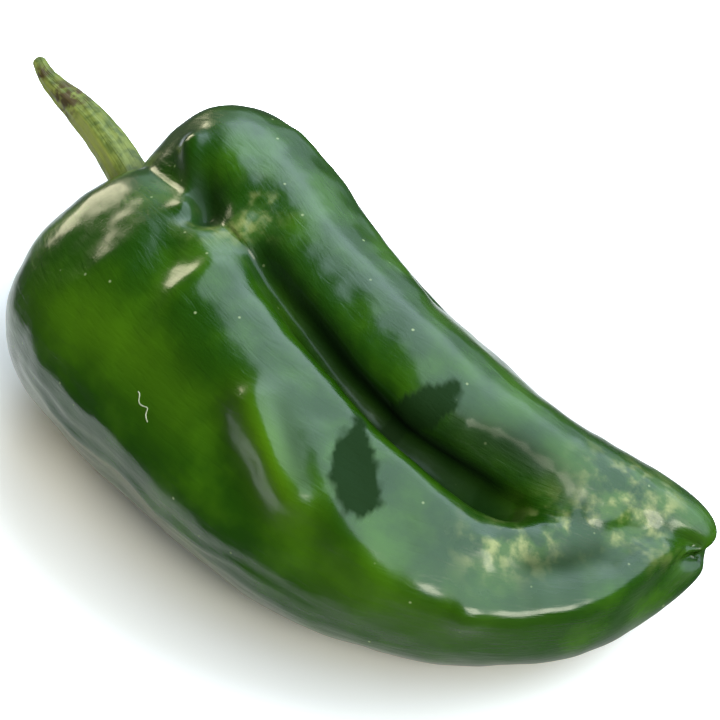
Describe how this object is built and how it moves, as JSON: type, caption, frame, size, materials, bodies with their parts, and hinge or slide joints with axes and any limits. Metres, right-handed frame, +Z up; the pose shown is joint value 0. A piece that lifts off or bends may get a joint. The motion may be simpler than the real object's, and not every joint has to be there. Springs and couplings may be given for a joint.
{
  "type": "poblano pepper",
  "caption": "Fresh glossy dark green chilli pepper with broad shoulders, a deep lengthwise furrow and a curved stem, lying on its side.",
  "frame": {"origin": "under the middle of the whole pepper's bounding box, on the surface that it lies on", "axes": "+Z up; +X along the fruit, from the stem end to the tip; -Y is the side that bulges, the outside of the bend"},
  "size_m": [0.1518, 0.0752, 0.0481],
  "materials": {
    "skin": "waxy glossy dark green pepper skin",
    "calyx": "satin leaf green calyx",
    "stem": "matte yellow-green ribbed stem with a brown blemish"
  },
  "bodies": {
    "root": {"pod": "skin", "calyx": "calyx", "stem": "stem"}
  },
  "joints": []
}
